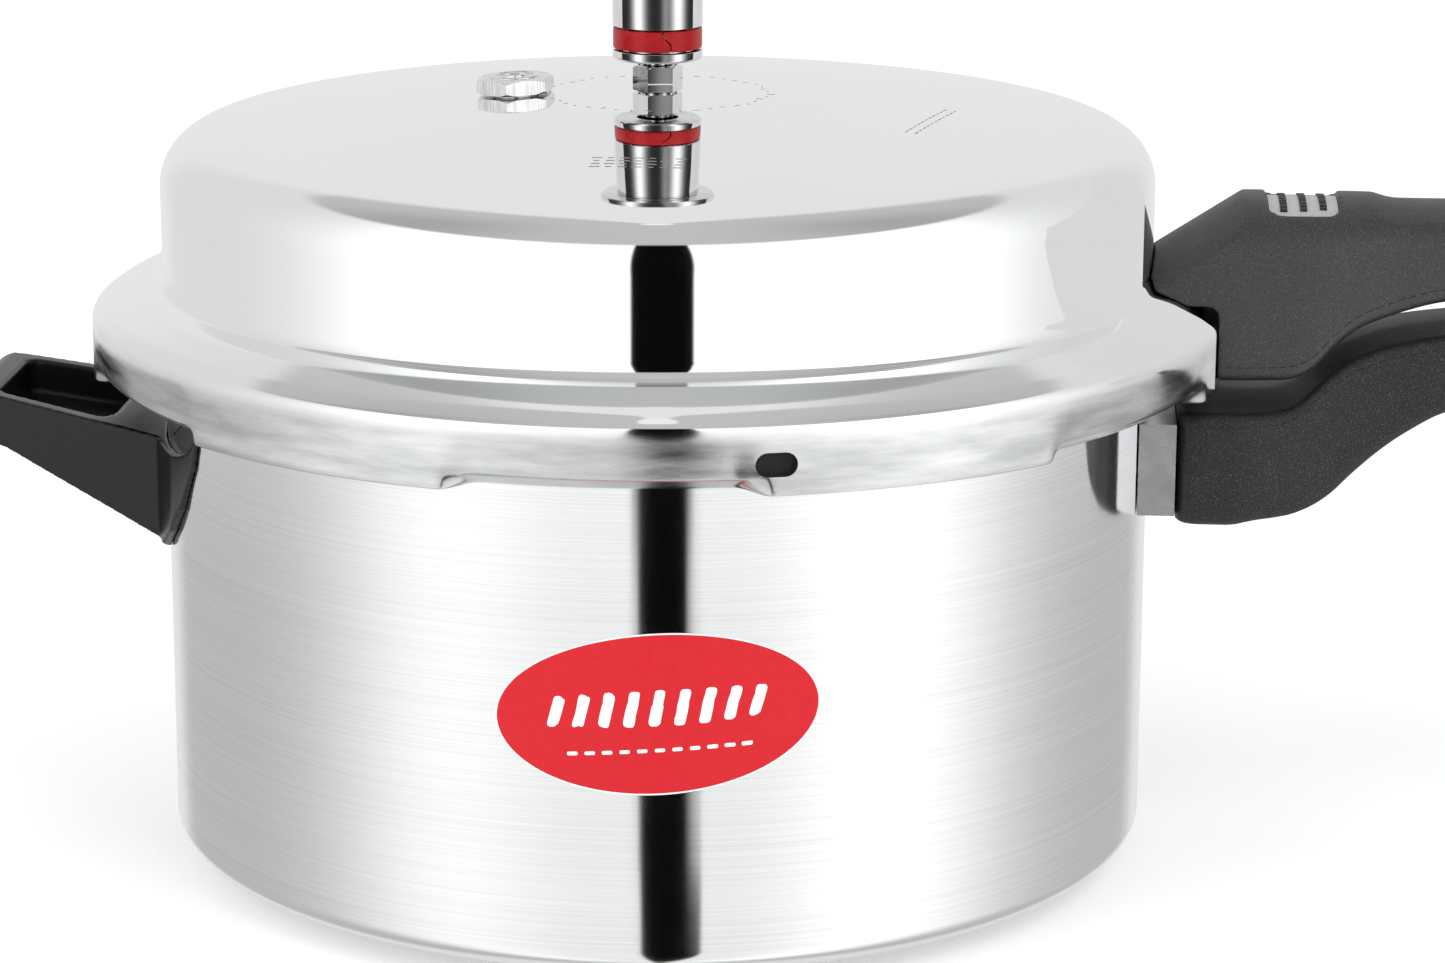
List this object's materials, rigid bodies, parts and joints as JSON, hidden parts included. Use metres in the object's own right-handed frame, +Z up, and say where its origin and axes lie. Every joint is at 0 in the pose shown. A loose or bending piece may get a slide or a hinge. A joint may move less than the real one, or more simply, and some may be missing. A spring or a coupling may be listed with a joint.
{
  "type": "stovetop pressure cooker",
  "caption": "Straight-sided aluminium pressure cooker with an outer twist-locking domed lid, lift-off pressure weight, safety valve, twin long handles and a short helper handle.",
  "frame": {"origin": "centre of the pot's flat base, on the pot's axis", "axes": "+Z up along the pot's axis, +X along the two long handles, -X along the helper handle"},
  "size_m": [0.4423, 0.2516, 0.2152],
  "materials": {
    "satin_aluminium": "satin, with fine lines round the pot",
    "polished_aluminium": "polished",
    "bakelite": "fine matte grain",
    "gloss_bakelite": "smooth, glossy",
    "chrome": "mirror",
    "steel": "plain",
    "silicone": "smooth",
    "rubber": "matte",
    "fusible_alloy": "dull",
    "label": "satin"
  },
  "bodies": {
    "pot": {"pot_body": "satin_aluminium", "body_handle_bracket": "satin_aluminium", "body_bracket_rivet_1": "steel", "body_bracket_rivet_2": "steel", "body_handle": "bakelite", "body_handle_screw": "steel", "helper_handle_bracket": "satin_aluminium", "helper_bracket_rivet_1": "steel", "helper_bracket_rivet_2": "steel", "helper_handle": "gloss_bakelite", "helper_handle_screw": "steel"},
    "lid": {"lid": "polished_aluminium", "sealing_gasket": "rubber", "lid_handle_bracket": "steel", "lid_bracket_rivet_1": "steel", "lid_bracket_rivet_2": "steel", "lid_handle": "bakelite", "lid_handle_screw": "steel", "label_plate": "label", "vent_tube": "chrome", "vent_tube_washer": "steel", "vent_tube_nut": "steel", "safety_valve_body": "satin_aluminium", "safety_valve_washer": "rubber", "safety_valve_nut": "satin_aluminium", "fusible_plug": "fusible_alloy"},
    "vent_pin": {"vent_needle": "steel"},
    "weight": {"weight_body": "chrome", "weight_band": "silicone", "weight_cap": "chrome"}
  },
  "joints": [
    {"name": "lid_turn", "type": "hinge", "parent": "pot", "child": "lid", "pos_m": [0, 0, 0.117], "axis": [0, 0, 1], "range_deg": [0, 30]},
    {"name": "weight_lift", "type": "slide", "parent": "lid", "child": "vent_pin", "axis": [0, 0, 1], "range_m": [0, 0.03]},
    {"name": "weight_spin", "type": "hinge", "parent": "vent_pin", "child": "weight", "pos_m": [0, 0, 0.19], "axis": [0, 0, 1], "continuous": true}
  ]
}
